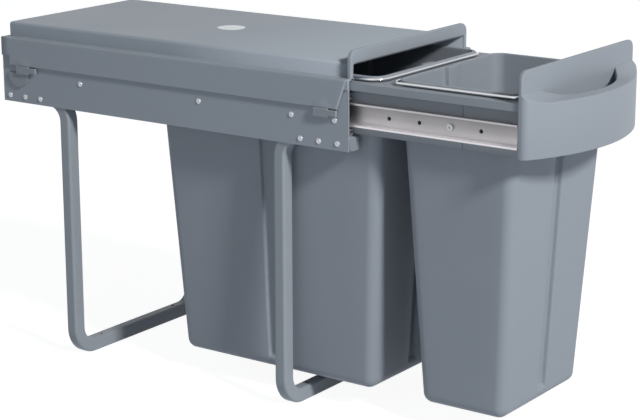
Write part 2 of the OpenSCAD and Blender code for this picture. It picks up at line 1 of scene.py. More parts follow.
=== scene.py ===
# %% [markdown]
# # A pull-out waste unit, dressed over its measured frame
# The unit stands in a narrow kitchen cabinet: two tapered bins hang in a carrier that rolls on
# ball slides, under a clipped-on plastic lid. The measured CAD frame says where everything is and
# how it moves. This script keeps that frame and builds the visible skin around it, piece by piece.

import bmesh
import bpy
import numpy as np
from mathutils import Matrix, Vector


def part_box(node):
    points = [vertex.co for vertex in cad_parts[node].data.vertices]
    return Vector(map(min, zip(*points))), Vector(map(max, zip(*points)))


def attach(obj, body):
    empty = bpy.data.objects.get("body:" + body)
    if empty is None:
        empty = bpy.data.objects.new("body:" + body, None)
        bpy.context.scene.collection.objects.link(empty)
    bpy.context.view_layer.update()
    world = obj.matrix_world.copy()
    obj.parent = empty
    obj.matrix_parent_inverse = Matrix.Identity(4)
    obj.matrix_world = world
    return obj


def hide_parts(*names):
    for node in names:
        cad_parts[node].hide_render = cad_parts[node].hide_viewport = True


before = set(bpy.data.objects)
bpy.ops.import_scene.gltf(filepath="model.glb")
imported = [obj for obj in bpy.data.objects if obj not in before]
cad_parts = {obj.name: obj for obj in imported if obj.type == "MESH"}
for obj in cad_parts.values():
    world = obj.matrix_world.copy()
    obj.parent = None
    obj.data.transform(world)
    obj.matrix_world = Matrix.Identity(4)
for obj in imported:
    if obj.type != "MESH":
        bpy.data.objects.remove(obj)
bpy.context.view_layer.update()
MM = 0.001

# %% [markdown]
# ## Grids of points
# Most pieces here are surfaces with two directions, such as around a bin and up its wall. Points
# are numbered row by row, so one formula gives the corners of every quad at once. That keeps the
# shapes exact and the script free of slow loops. Lengths are in millimetres until a mesh is made.

# %% Surface helpers
def box_mm(name):
    """The low and the high corner of a CAD node's box, in millimetres."""
    return [np.array(corner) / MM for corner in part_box(name)]


def grid_faces(rows, cols, wrap=False):
    """Corners of the quads of a grid that is numbered row by row.

    The quad (r, c) joins r cols + c and r cols + c + 1 with the points under them in row r + 1.
    With wrap, the last column is joined to the first.
    """
    last = cols if wrap else cols - 1
    r, c = np.meshgrid(np.arange(rows - 1), np.arange(last), indexing="ij")
    n = (c + 1) % cols
    quads = np.stack([r * cols + c, r * cols + n, (r + 1) * cols + n, (r + 1) * cols + c], -1)
    return quads.reshape(-1, 4)


def arc(centre, radius, start, end, count):
    """Points of an arc: centre + radius (cos a, sin a), with a from start to end in degrees."""
    a = np.radians(np.linspace(start, end, count))
    return np.stack([centre[0] + radius * np.cos(a), centre[1] + radius * np.sin(a)], 1)


def rounding(r, count):
    """Steps round an edge: setback r (1 - cos a) and drop r (1 - sin a), a from 0 to 90."""
    return [(r * (1 - np.cos(a)), r * (1 - np.sin(a)))
            for a in np.radians(np.linspace(0, 90, count))]


def spread(points, count):
    """The same path as an open line of count points at equal distances along it."""
    steps = np.r_[0, np.cumsum(np.linalg.norm(np.diff(points, axis=0), axis=1))]
    at = np.linspace(0, steps[-1], count)
    return np.stack([np.interp(at, steps, points[:, k]) for k in range(points.shape[1])], 1)


def both_sides(half):
    """A plane line that goes on as its own mirror image: each (u, v), then each (-u, v) back."""
    return np.concatenate([half, half[::-1] * [-1.0, 1.0]])


def turned_plan(points, degrees):
    """Plan points turned about the Z axis: (x cos a - y sin a, x sin a + y cos a)."""
    a = np.radians(degrees)
    return points @ np.array([[np.cos(a), np.sin(a)], [-np.sin(a), np.cos(a)]])


def at_height(plan, z):
    """A line in plan, (x, y), as points at the height z, one for all or one for each point."""
    return np.column_stack([plan, z * np.ones(len(plan))])


def at_depth(front, y):
    """A line seen from the front, (x, z), as points at the depth y, one for all or for each."""
    return np.column_stack([front[:, 0], y * np.ones(len(front)), front[:, 1]])


def mirrored_x(points):
    """The points on the other side of the unit."""
    return points * np.array([-1.0, 1.0, 1.0])


def closed_shell(rows):
    """A tube of rings, (rings, points around, 3), with a flat face on its first and last ring."""
    count, around = rows.shape[:2]
    faces = grid_faces(count, around, wrap=True).tolist()
    faces.append(list(range(around)))
    faces.append(list(range((count - 1) * around, count * around)))
    return rows.reshape(-1, 3), faces


def repeated(points, faces, places):
    """The same small shape at each place, as one set of points and faces."""
    many = (points[None] + np.asarray(places, float)[:, None]).reshape(-1, 3)
    shift = np.arange(len(places))[:, None, None] * len(points)
    return many, (faces[None] + shift).reshape(-1, faces.shape[1]).tolist()


# %% [markdown]
# ## From points to a piece
# A piece is one mesh object that sits at the origin, with its place in its points. Double points
# are merged and faces turned outwards before any thickness or rounding is added. Edges flatter
# than the given angle are shaded smooth, the others stay crisp.

# %% Piece helpers
MERGE, FLAT = 0.004, 0.4


def tidy_mesh(mesh, out=None):
    """Merges double points and turns the faces outwards; an open shell faces along out."""
    work = bmesh.new()
    work.from_mesh(mesh)
    bmesh.ops.remove_doubles(work, verts=work.verts, dist=MERGE * MM)
    loose = [v for v in work.verts if not v.link_faces]
    bmesh.ops.delete(work, geom=loose, context="VERTS")
    bmesh.ops.recalc_face_normals(work, faces=work.faces)
    if out is not None:
        total = np.sum([np.array(f.normal) * f.calc_area() for f in work.faces], 0)
        if total @ np.array(out, float) < 0:
            bmesh.ops.reverse_faces(work, faces=work.faces)
    work.to_mesh(mesh)
    work.free()


def join_flat_faces(mesh):
    """Joins faces that differ by less than FLAT degrees, so that a bevel finds only real edges."""
    work = bmesh.new()
    work.from_mesh(mesh)
    bmesh.ops.dissolve_limit(work, angle_limit=np.radians(FLAT), verts=work.verts,
                             edges=work.edges)
    work.to_mesh(mesh)
    work.free()


def finish_piece(obj, body, nodes, slot, angle=35, finish=None):
    """Smooth shading, the body that moves the piece, the nodes that it stands for, its finish."""
    obj.data.shade_smooth()
    obj.data.set_sharp_from_angle(angle=np.radians(angle))
    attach(obj, body)
    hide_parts(*nodes)
    obj.data.materials.clear()
    obj.data.materials.append(FINISH[finish or slot])
    print(obj.name, len(obj.data.polygons), "faces")


def new_object(name, data):
    """An object in the scene with the given data."""
    obj = bpy.data.objects.new(name, data)
    bpy.context.scene.collection.objects.link(obj)
    return obj


def make_object(name, shells, out=None):
    """One object from several shells, each with points in millimetres and its faces."""
    points, faces, start = [], [], 0
    for shell_points, shell_faces in shells:
        points.append(np.asarray(shell_points, float) * MM)
        faces += [[start + i for i in face] for face in shell_faces]
        start += len(shell_points)
    mesh = bpy.data.meshes.new(name)
    mesh.from_pydata(np.concatenate(points).tolist(), [], faces)
    tidy_mesh(mesh, out)
    return new_object(name, mesh)


def add_bevel(obj, width, segments=2, angle=30):
    """Rounds the edges that are sharper than the angle; width is in millimetres."""
    bevel = obj.modifiers.new("Rounded edges", "BEVEL")
    bevel.width = width * MM
    bevel.segments = segments
    bevel.limit_method = "ANGLE"
    bevel.angle_limit = np.radians(angle)
    bevel.harden_normals = True
    return obj


def add_thickness(obj, thickness):
    """Gives an open shell its sheet thickness, inwards from the shown face, in millimetres."""
    sheet = obj.modifiers.new("Sheet", "SOLIDIFY")
    sheet.thickness = thickness * MM
    sheet.offset = -1
    sheet.use_even_offset = True
    return obj


def rounded_copy(node, body, slot, width, segments=2):
    """A copy of a CAD node with its doubles merged, flat faces joined and edges rounded."""
    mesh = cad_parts[node].data.copy()
    obj = new_object(node + "_shown", mesh)
    tidy_mesh(mesh)
    join_flat_faces(mesh)
    finish_piece(obj, body, [node], slot)
    add_bevel(obj, width, segments)


# %% [markdown]
# ## Node helpers
# A finish is a Principled shader fed by a shared node group. A group holds one effect, such as the
# grain of moulded plastic, and hands over a colour, a roughness and a normal. What is the same all
# over a piece is set on the shader itself.

# %% Node helpers
FLOAT, COLOUR, VECTOR = "NodeSocketFloat", "NodeSocketColor", "NodeSocketVector"
NOISE_LOW, NOISE_HIGH = 0.3, 0.7


def fill(tree, node, inputs):
    """Sets named or numbered inputs: each to a value, or to a link where it gets an output."""
    for key, value in inputs.items():
        if isinstance(value, bpy.types.NodeSocket):
            tree.links.new(value, node.inputs[key])
        else:
            node.inputs[key].default_value = value


def add_node(tree, kind, at, inputs=None, **settings):
    """A node at a place on the sheet, with its settings and then its inputs."""
    node = tree.nodes.new(kind)
    node.location = at
    for key, value in settings.items():
        setattr(node, key, value)
    fill(tree, node, inputs or {})
    return node


def new_group(name, inputs):
    """A node group with one input for each first value, and the three outputs of a surface."""
    group = bpy.data.node_groups.new(name, "ShaderNodeTree")
    for label, value in inputs.items():
        kind = COLOUR if label == "Color" else FLOAT
        group.interface.new_socket(label, in_out="INPUT", socket_type=kind).default_value = value
    for label, kind in (("Color", COLOUR), ("Roughness", FLOAT), ("Normal", VECTOR)):
        group.interface.new_socket(label, in_out="OUTPUT", socket_type=kind)
    return group, add_node(group, "NodeGroupInput", (-900, 0)).outputs


def stretched_noise(tree, at, stretch, scale, detail=3.0):
    """Noise over the piece's own coordinates, stretched by a factor for each axis."""
    place = add_node(tree, "ShaderNodeTexCoord", (at[0] - 500, at[1]))
    turn = add_node(tree, "ShaderNodeMapping", (at[0] - 300, at[1]),
                    {"Vector": place.outputs["Object"], "Scale": stretch})
    noise = add_node(tree, "ShaderNodeTexNoise", at,
                     {"Vector": turn.outputs["Vector"], "Scale": scale, "Detail": detail})
    return noise.outputs["Fac"]


def spread_value(tree, at, noise, middle, amount):
    """A value that goes from middle - amount to middle + amount with the noise.

    Noise outside NOISE_LOW to NOISE_HIGH is rare and is clamped.
    """
    low, high = (add_node(tree, "ShaderNodeMath", (at[0] - 200, at[1] - drop),
                          {0: middle, 1: amount}, operation=operation).outputs[0]
                 for drop, operation in ((120, "SUBTRACT"), (280, "ADD")))
    ranged = add_node(tree, "ShaderNodeMapRange", at, {
        "Value": noise, "From Min": NOISE_LOW, "From Max": NOISE_HIGH, "To Min": low,
        "To Max": high})
    return ranged.outputs["Result"]


def hand_over(group, inputs, level, gloss_noise, relief_noise, relief, depth):
    """The outputs: colour times level, roughness with its spread, and the normal of a relief.

    relief names the input that gives the relief's strength; its depth is in metres.
    """
    tint = add_node(group, "ShaderNodeVectorMath", (450, 300),
                    {0: inputs["Color"], "Scale": level}, operation="SCALE")
    bump = add_node(group, "ShaderNodeBump", (450, -300), {
        "Distance": depth, "Strength": inputs[relief], "Height": relief_noise})
    add_node(group, "NodeGroupOutput", (700, 0), {
        "Color": tint.outputs["Vector"], "Normal": bump.outputs["Normal"],
        "Roughness": spread_value(group, (200, 0), gloss_noise, inputs["Roughness"],
                                  inputs["Roughness spread"])})


# %% [markdown]
# ## Grained surface
# Moulded plastic and powder paint share this group. A fine noise makes the grain of the tool's
# surface or the peel of the paint, and a slow noise shifts colour and gloss a little from place to
# place, as handling and cooling do. The amounts are inputs, so one group serves every such piece.

# %% Grained surface group
def grained_group():
    """Colour, roughness and normal of a surface with fine grain and a slow drift of tone."""
    group, inputs = new_group("Grained surface", {
        "Color": (0.35, 0.37, 0.4, 1), "Tone spread": 0.02, "Roughness": 0.5,
        "Roughness spread": 0.04, "Grain size": 900.0, "Grain depth": 0.1})
    slow = stretched_noise(group, (-200, 300), (1, 1, 1), 9.0)
    fine = stretched_noise(group, (-200, -300), (1, 1, 1), inputs["Grain size"], 2.0)
    level = spread_value(group, (200, 350), slow, 1.0, inputs["Tone spread"])
    hand_over(group, inputs, level, slow, fine, "Grain depth", 0.0002)
    return group


# %% [markdown]
# ## Rolled strip
# The slides are folded from zinc-plated strip. Rolling leaves fine streaks along the strip, here
# along Y, and the plating has pale and dull patches. The noise is stretched by a large factor
# across the strip and a small one along it, which turns round specks into long scratches. A slide
# also carries painted light: a painted highlight on each lip, and painted shade up its web.

# %% Rolled strip group
# Painted light up a slide: a lit lower lip, painted shade darkening the web, a lit upper lip.
PAINTED_LIGHT_TONES = [(0.0, 1.0), (0.08, 1.0), (0.12, 0.78), (0.2, 0.68), (0.5, 0.49), (0.85, 0.38),
               (0.92, 0.38), (0.95, 0.7), (1.0, 0.7)]
PAINTED_LIGHT_GAIN = 1.5


def painted_light_level(group, inputs):
    """Painted light up a slide, lit lips and a shaded web: 1 + Painted light (PAINTED_LIGHT_GAIN
    tone - 1).
    """
    place = add_node(group, "ShaderNodeTexCoord", (-1100, 700))
    split = add_node(group, "ShaderNodeSeparateXYZ", (-900, 700), {0: place.outputs["Object"]})
    height = add_node(group, "ShaderNodeMapRange", (-700, 700), {
        "Value": split.outputs["Z"], "From Min": inputs["Painted light low"],
        "From Max": inputs["Painted light high"]})
    ramp = add_node(group, "ShaderNodeValToRGB", (-500, 700), {0: height.outputs["Result"]})
    stops = ramp.color_ramp.elements
    while len(stops) < len(PAINTED_LIGHT_TONES):
        stops.new(0.5)
    for stop, (at, tone) in zip(stops, PAINTED_LIGHT_TONES):
        stop.position, stop.color = at, (tone, tone, tone, 1)
    gain = add_node(group, "ShaderNodeMath", (-200, 700),
                    {0: ramp.outputs["Color"], 1: PAINTED_LIGHT_GAIN, 2: -1.0}, operation="MULTIPLY_ADD")
    level = add_node(group, "ShaderNodeMath", (0, 700),
                     {0: gain.outputs[0], 1: inputs["Painted light"], 2: 1.0}, operation="MULTIPLY_ADD")
    return level.outputs[0]


def strip_group():
    """Colour, roughness and normal of plated strip with streaks along Y and a slide's painted
    light.
    """
    group, inputs = new_group("Rolled strip", {
        "Color": (0.7, 0.68, 0.69, 1), "Tone spread": 0.05, "Roughness": 0.35,
        "Roughness spread": 0.08, "Streak depth": 0.2, "Painted light": 0.0, "Painted light low": 0.0,
        "Painted light high": 1.0})
    streaks = stretched_noise(group, (-200, 300), (900, 12, 900), 1.0, 4.0)
    patches = stretched_noise(group, (-200, -100), (1, 0.4, 1), 40.0)
    level = spread_value(group, (200, 350), patches, painted_light_level(group, inputs),
                         inputs["Tone spread"])
    hand_over(group, inputs, level, streaks, streaks, "Streak depth", 0.00005)
    return group


# %% [markdown]
# ## The finishes
# Every plastic and painted piece of the unit is one cool grey, so the values differ only a little:
# the lid and panel are a fine satin, the bins slightly duller, the steel plates and legs powder
# coated. The slides are bare plated steel, the bails bright wire. The lid's crown gets a lighter
# copy of the lid's grey, and the slides lighter lips and a darker web, all painted light. Each row
# gives the group, the colour, the roughness, more values for the group and the shader's own
# values.

# %% Finishes
GROUPS = {"grain": grained_group(), "strip": strip_group()}
GREY, PALE_GREY, SHADE_GREY = (0.348, 0.38, 0.42), (0.375, 0.412, 0.455), (0.33, 0.36, 0.39)
DULL = {"Specular IOR Level": 0.18}
SATIN = {"Grain depth": 0.12}
PAINT = {"Grain size": 420.0, "Grain depth": 0.2}
# The slides' height in metres, over which their painted light is laid.
SLIDE_PAINTED_LIGHT = {"Painted light": 1.0, "Painted light low": 0.33675, "Painted light high": 0.36225}
FINISH_ROWS = {
    "lid_plastic": ("grain", PALE_GREY, 0.48, SATIN, DULL),
    # The crown is the lid's own plastic, made lighter as painted light.
    "crown_plastic_painted_light": ("grain", (0.405, 0.45, 0.5), 0.48, SATIN, DULL),
    "panel_plastic": ("grain", GREY, 0.45, {}, DULL),
    "carrier_plastic": ("grain", (0.33, 0.36, 0.395), 0.5, {}, DULL),
    "bin_plastic": ("grain", GREY, 0.52, {"Grain depth": 0.15, "Tone spread": 0.025}, DULL),
    "clip_plastic": ("grain", SHADE_GREY, 0.5, {}, DULL),
    "cap_plastic": ("grain", (0.3, 0.33, 0.36), 0.5, {}, DULL),
    "plate_paint": ("grain", PALE_GREY, 0.5, PAINT, DULL),
    "leg_paint": ("grain", (0.365, 0.4, 0.432), 0.42, PAINT, DULL),
    "bracket_paint": ("grain", SHADE_GREY, 0.5, {}, DULL),
    "badge_film": ("grain", (0.92, 0.97, 1.0), 0.25, {"Grain depth": 0.02}, {}),
    "zinc_steel": ("strip", (0.5, 0.485, 0.5), 0.42, SLIDE_PAINTED_LIGHT, {"Metallic": 0.85}),
    "rivet_steel": ("strip", (0.5, 0.52, 0.55), 0.35, {}, {"Metallic": 0.8}),
    "cage_steel": ("strip", (0.6, 0.57, 0.5), 0.4, {}, {"Metallic": 0.9}),
    "ball_steel": ("strip", (0.8, 0.8, 0.81), 0.12, {"Streak depth": 0.0}, {"Metallic": 1.0}),
    "wire_chrome": ("grain", (0.64, 0.65, 0.67), 0.12,
                    {"Roughness spread": 0.03, "Grain depth": 0.03}, {"Metallic": 1.0}),
}


def make_finish(name, group, colour, roughness, more, shader_values):
    """One material: the named group feeds colour, roughness and normal of a Principled shader."""
    material = bpy.data.materials.new(name)
    material.use_nodes = True
    tree = material.node_tree
    values = {"Color": (*colour, 1), "Roughness": roughness, **more}
    effect = add_node(tree, "ShaderNodeGroup", (-300, 200), node_tree=GROUPS[group])
    fill(tree, effect, values)
    fill(tree, tree.nodes["Principled BSDF"], {
        "Base Color": effect.outputs["Color"], "Roughness": effect.outputs["Roughness"],
        "Normal": effect.outputs["Normal"], **shader_values})
    return material


FINISH = {name: make_finish(name, *row) for name, row in FINISH_ROWS.items()}

# %% [markdown]
# ## Side plates, slides, carrier, clips and caps
# These are folded sheet and simple mouldings whose CAD shape is already right. The copy only gains
# the small edge radius that every real edge has, which is what catches a thin line of light.

# %% Rounded copies of simple pieces
rounded_copy("side_plate_left", "frame", "plate_paint", 0.3)
rounded_copy("side_plate_right", "frame", "plate_paint", 0.3)
rounded_copy("leg_end_caps", "frame", "cap_plastic", 0.5)
rounded_copy("lid_clips_front", "frame", "clip_plastic", 0.9, 3)
rounded_copy("lid_clips_rear", "frame", "clip_plastic", 0.9, 3)
for side in ("left", "right"):
    rounded_copy("slide_outer_" + side, "frame", "zinc_steel", 0.3)
    rounded_copy("slide_middle_" + side, "middle_slides", "zinc_steel", 0.3)
    rounded_copy("slide_inner_" + side, "carriage", "zinc_steel", 0.4, 3)
    rounded_copy("panel_bracket_" + side, "carriage", "bracket_paint", 0.3)
rounded_copy("bin_carrier", "carriage", "carrier_plastic", 0.4)

# %% [markdown]
# ## Legs
# A leg is one length of round-cornered steel tube, bent four times: back under a plate, down, and
# across the floor to the other side. A draughtsman would draw the middle line and the section. So
# does this cell: each station of the line has a centre and two axes, and the section is laid into
# every one of them. The floor screws pass through round holes in the run on the floor.

# %% Legs
plate_low, plate_high = box_mm("side_plate_right")
TUBE_W, TUBE_D, TUBE_T, TUBE_R = 17.0, 15.0, 1.5, 3.0
TOP_BEND, FOOT_BEND, LEG_Y = 25.0, 27.0, 158.0
HOLE_X, HOLE_R, HOLE_BLOCK, RUN_STOP = 70.0, 2.5, 4.0, 30.0
BLOCK_LINES, BEND_LINES, CORNER_LINES, HOLE_RINGS = 9, 19, 7, 4
NEAR = 0.01
tube_x = box_mm("leg_rear")[1][0] - TUBE_W / 2


def block_steps():
    """Where the grid lines run round a hole, from the block's one side to the other."""
    return np.linspace(-HOLE_BLOCK, HOLE_BLOCK, BLOCK_LINES)


def tube_section():
    """A rectangle with round corners, as (across, along); its flats carry the block's lines."""
    w, d, r = TUBE_W / 2, TUBE_D / 2, TUBE_R
    right = np.stack([np.full(BLOCK_LINES, w), block_steps()], 1)
    upper = np.concatenate([right, arc((w - r, d - r), r, 0, 90, CORNER_LINES)])
    half = both_sides(upper)[:1 - BLOCK_LINES]
    return np.concatenate([half, -half])


def leg_stations():
    """Centres and the two section axes along one half of a leg, then mirrored for the other."""
    run_z = plate_low[2] + TUBE_D / 2
    quarter = np.radians(np.linspace(0, 90, BEND_LINES))
    s, c = np.sin(quarter), np.cos(quarter)
    o, i = np.zeros(BEND_LINES), np.ones(BEND_LINES)
    bend_y, foot_x, up_z = LEG_Y + TOP_BEND, tube_x - FOOT_BEND, TUBE_W / 2 + FOOT_BEND
    run_x = np.r_[HOLE_X + block_steps()[::-1], RUN_STOP, 0.0]
    n = len(run_x)
    centres = np.concatenate([
        [[tube_x, plate_high[1], run_z]],
        np.stack([tube_x * i, bend_y - TOP_BEND * s, run_z - TOP_BEND + TOP_BEND * c], 1),
        np.stack([foot_x + FOOT_BEND * c, LEG_Y * i, up_z - FOOT_BEND * s], 1),
        np.stack([run_x, np.full(n, LEG_Y), np.full(n, TUBE_W / 2)], 1)])
    across = np.concatenate([[[1.0, 0, 0]], np.stack([i, o, o], 1), np.stack([c, o, -s], 1),
                             np.tile([0.0, 0, -1], (n, 1))])
    along = np.concatenate([[[0.0, 0, 1]], np.stack([o, -s, c], 1),
                            np.tile([0.0, -1, 0], (BEND_LINES + n, 1))])
    return [np.concatenate([half, mirrored_x(half[-2::-1])]) for half in (centres, across, along)]


def hole_ring(x, y, z):
    """The flat round a hole: the square block's edge is drawn in to the hole's circle."""
    side = block_steps()[:-1]
    end = np.full(len(side), HOLE_BLOCK)
    edge = np.concatenate([np.stack(pair, 1) for pair in
                           ((side, -end), (end, side), (-side, end), (-end, -side))])
    circle = HOLE_R * edge / np.linalg.norm(edge, axis=1, keepdims=True)
    share = np.linspace(0, 1, HOLE_RINGS)[:, None, None]
    flat = edge * (1 - share) + circle * share
    points = np.dstack([x + flat[..., 0], y + flat[..., 1], np.full(flat.shape[:2], z)])
    return points.reshape(-1, 3), grid_faces(HOLE_RINGS, len(edge), wrap=True).tolist()


def leg_piece(name, end):
    """The section laid into every station, with rings in place of the blocks round the holes."""
    centres, across, along = leg_stations()
    section = tube_section()
    rings = (centres[:, None] + section[None, :, :1] * across[:, None]
             + section[None, :, 1:] * along[:, None])
    points = rings.reshape(-1, 3) * np.array([1.0, end, 1.0])
    faces = grid_faces(len(centres), len(section), wrap=True)
    middle = points[faces].mean(1)
    in_block = ((np.abs(np.abs(middle[:, 0]) - HOLE_X) < HOLE_BLOCK)
                & (np.abs(middle[:, 1] - end * LEG_Y) < HOLE_BLOCK)
                & ((middle[:, 2] < NEAR) | (middle[:, 2] > TUBE_W - NEAR)))
    shells = [(points, faces[~in_block].tolist())]
    for x in (-HOLE_X, HOLE_X):
        shells += [hole_ring(x, end * LEG_Y, 0.0), hole_ring(x, end * LEG_Y, TUBE_W)]
    obj = add_thickness(make_object(name + "_shown", shells), TUBE_T)
    finish_piece(obj, "frame", [name], "leg_paint", 40)


leg_piece("leg_rear", 1)
leg_piece("leg_front", -1)

# %% [markdown]
# ## Blind rivets
# Legs and slides hang on blind rivets. Such a rivet has a low domed head with a small pit in the
# middle, where the pulling pin snapped off. The profile is turned once round the rivet's axis and
# the result is repeated at each place.

# %% Rivets
HEAD_R, PIT_R, SHANK_R, TAIL_L = 3.3, 1.15, 2.0, 2.0
LEG_RIVET_YS = [-238, -213.6, -189.2, 193.2, 217.6, 242]
SLIDE_RIVET_YS = [-234.5, -177.5, -49, 128.5]
SLIDE_RIVET_Z = 342.6


def turned(profile, count=28):
    """A profile of (height, radius) turned round the X axis."""
    a = np.radians(np.arange(count) * 360.0 / count)
    h, r = profile[:, :1], profile[:, 1:]
    rows = np.stack([h + 0 * a, r * np.cos(a), r * np.sin(a)], -1)
    return rows.reshape(-1, 3), grid_faces(len(profile), count, wrap=True)


def rivet_profile(depth, tail_r):
    """From the pit in the head, over the dome and its rim, down the shank to the set end."""
    a = np.radians(np.linspace(90, 20, 8))
    dome = np.stack([0.35 + 1.05 * np.sin(a), HEAD_R * np.cos(a)], 1)
    pit = [[0.6, 0.0], [0.6, 0.7], [0.75, 0.95], [1.25, 1.05]]
    rim = [[0.4, HEAD_R], [0.0, HEAD_R], [0.0, SHANK_R], [-depth, SHANK_R]]
    tail = [[-depth, tail_r], [-depth - TAIL_L, tail_r], [-depth - TAIL_L, 0.0]]
    if tail_r <= SHANK_R:
        tail = [[-depth, 0.0]]
    return np.concatenate([pit, dome[dome[:, 1] > PIT_R], rim, tail])


def rivet_piece(name, ys, z, depth, tail_r):
    """All rivets of one node: the heads stand on the outer faces of both side plates."""
    points, faces = turned(rivet_profile(depth, tail_r))
    right = repeated(points, faces, [(plate_high[0], y, z) for y in ys])
    left = (mirrored_x(right[0]), right[1])
    obj = make_object(name + "_shown", [right, left])
    finish_piece(obj, "frame", [name], "rivet_steel", 50)


rivet_piece("leg_rivets", LEG_RIVET_YS, plate_low[2] + TUBE_D / 2, depth=3.0, tail_r=3.0)
rivet_piece("slide_rivets", SLIDE_RIVET_YS, SLIDE_RIVET_Z, depth=2.7, tail_r=2.0)

# %% [markdown]
# ## Lid crown
# The crown is the raised box of the lid, open at the front where the drawer runs out. Its wall and
# its round upper edge are one profile, carried along a U-shaped line round the sides and the back.
# The flat top closes the inner end of the profile, and the shell then gets its wall thickness.
# Rows close to the open edges keep the shading of the flat faces even.

# %% Lid crown
lid_low, lid_high = box_mm("lid")
LID_T, LEDGE_W, CROWN_H, PORTAL_RISE = 2.2, 13.5, 16.5, 13.5
EDGE_R, CORNER_R, PORTAL_T, CROWN_START = 3.5, 4.5, 5.0, 2.0
FOOT_HOLD, EDGE_HOLD, TOP_HOLD = 0.4, 0.3, 0.8
crown_x = lid_high[0] - LEDGE_W
crown_z = lid_high[2] - PORTAL_RISE
ledge_z = crown_z - CROWN_H


def u_path(inset):
    """Plan line of the crown at a distance inside its outer face: side, corner, rear and back."""
    x, rear, r = crown_x - inset, lid_high[1] - inset, CORNER_R - inset
    front = [[x, lid_low[1] + CROWN_START], [x, 0.0]]
    return both_sides(np.concatenate([front, arc((x - r, rear - r), r, 0, 90, 13)]))


crown_profile = [(0.0, ledge_z - LID_T), (0.0, ledge_z - LID_T + FOOT_HOLD),
                 (0.0, crown_z - EDGE_R - EDGE_HOLD)]
crown_profile += [(inset, crown_z - drop) for inset, drop in rounding(EDGE_R, 9)]
crown_profile.append((EDGE_R + TOP_HOLD, crown_z))
crown_rows = np.stack([at_height(u_path(inset), z) for inset, z in crown_profile])
rows, cols = crown_rows.shape[:2]
crown_faces = grid_faces(rows, cols).tolist() + [list(range((rows - 1) * cols, rows * cols))]
crown = make_object("lid_crown", [(crown_rows.reshape(-1, 3), crown_faces)], out=(0, 0, 1))
# The crown takes the lighter copy of the lid plastic, which is painted light.
finish_piece(add_thickness(crown, LID_T), "lid", ["lid"], "lid_plastic", finish="crown_plastic_painted_light")

# %% [markdown]
# ## Lid skirts
# Outside the crown the lid runs on as a narrow ledge and turns down over the side plates. Seen
# from the side the skirt is a long strip: its front end slants, its rear end has a step. The grid
# follows the strip along the unit and down the section, without the quads behind the step. A
# shallow arch is pressed outwards over each clip.

# %% Lid skirts
SKIRT_H, STEP_H, STEP_Y, RAKE, FOLD_R, LAP = 32.5, 22.0, 10.5, 12.0, 1.6, 1.0
ARCH_Y, ARCH_HALF, ARCH_H, ARCH_OUT, ARCH_RISE = (-218.5, 217.0), 13.0, 11.0, 0.6, 1.6
SKIRT_LINES = 161


def skirt_shell(side):
    """Section points (x, z) by stations along Y; the front end moves back with the depth.

    Over a clip the face moves out by ARCH_OUT times ARCH_RISE (1 - r), at most once ARCH_OUT,
    where r is the distance from the arch's middle as a share of its half width and its height.
    """
    x, z = lid_high[0], ledge_z
    ledge = [[crown_x - LAP, z], [crown_x - LAP + EDGE_HOLD, z], [crown_x + 6.0, z]]
    fold = arc((x - FOLD_R, z - FOLD_R), FOLD_R, 90, 0, 6)
    down = z - np.r_[np.linspace(4, STEP_H, 8),
                     np.linspace(STEP_H + 1.5, SKIRT_H - EDGE_HOLD, 7), SKIRT_H]
    section = np.concatenate([ledge, fold, np.stack([np.full(len(down), x), down], 1)])
    front = lid_low[1] + RAKE * (z - section[:, 1]) / SKIRT_H
    step = lid_high[1] - STEP_Y
    y = front[:, None] + (step - front[:, None]) * np.linspace(0, 1, SKIRT_LINES)
    y = np.concatenate([y, np.full((len(section), 1), lid_high[1])], 1)
    xs = np.repeat(section[:, :1], y.shape[1], 1)
    zs = np.repeat(section[:, 1:], y.shape[1], 1)
    for centre in ARCH_Y:
        reach = np.hypot((y - centre) / ARCH_HALF, (zs - (z - SKIRT_H)) / ARCH_H)
        lift = ARCH_OUT * np.clip(ARCH_RISE * (1 - reach), 0, 1)
        xs = xs + np.where(xs > x - 0.1, lift, 0)
    points = np.stack([side * xs, y, zs], -1).reshape(-1, 3)
    faces = grid_faces(len(section), y.shape[1])
    middle = points[faces].mean(1)
    behind = (middle[:, 1] > step) & (middle[:, 2] < z - STEP_H)
    return points, faces[~behind].tolist()


for side, label in ((-1, "left"), (1, "right")):
    skirt = make_object("lid_skirt_" + label, [skirt_shell(side)], out=(side, 0, 1))
    finish_piece(add_thickness(skirt, LID_T), "lid", ["lid"], "lid_plastic")

# %% [markdown]
# ## Lid seats
# Under the ledge five small blocks rest on each side plate's upper edge and carry the lid. They
# are plain boxes, worked out from the plate and the lid and rounded a little.

# %% Lid seats
SEATS, SEAT_HALF, SEAT_GAP = 5, 20.0, 1.1


def box_shell(low, high):
    """The eight corners and six faces of a box."""
    picks = np.array([[i, j, k] for k in (0, 1) for j in (0, 1) for i in (0, 1)])
    points = np.where(picks, high, low).astype(float)
    faces = [[0, 2, 3, 1], [4, 5, 7, 6], [0, 1, 5, 4], [2, 6, 7, 3], [0, 4, 6, 2], [1, 3, 7, 5]]
    return points, faces


seats = []
for y in np.linspace(plate_low[1] + SEAT_HALF, plate_high[1] - SEAT_HALF, SEATS):
    points, faces = box_shell((plate_low[0], y - SEAT_HALF, plate_high[2]),
                              (lid_high[0] - SEAT_GAP, y + SEAT_HALF, ledge_z - SEAT_GAP))
    seats += [(points, faces), (mirrored_x(points), faces)]
seat_piece = add_bevel(make_object("lid_seats", seats), 0.3)
finish_piece(seat_piece, "lid", ["lid"], "lid_plastic")

# %% [markdown]
# ## Lid mouth
# A raised rim stiffens the mouth of the lid. It is an arch: an outer line with round shoulders, an
# inner line round the opening, and between them a bar with soft edges. Because the header is wider
# than the stiles, the rounding is measured from the bar's edges and not as a share of its width.

# %% Lid mouth
STILE_OUT, STILE_LOW, BAR_R, SHOULDER_R, OPENING_R = 4.5, 1.5, 1.2, 10.0, 2.5


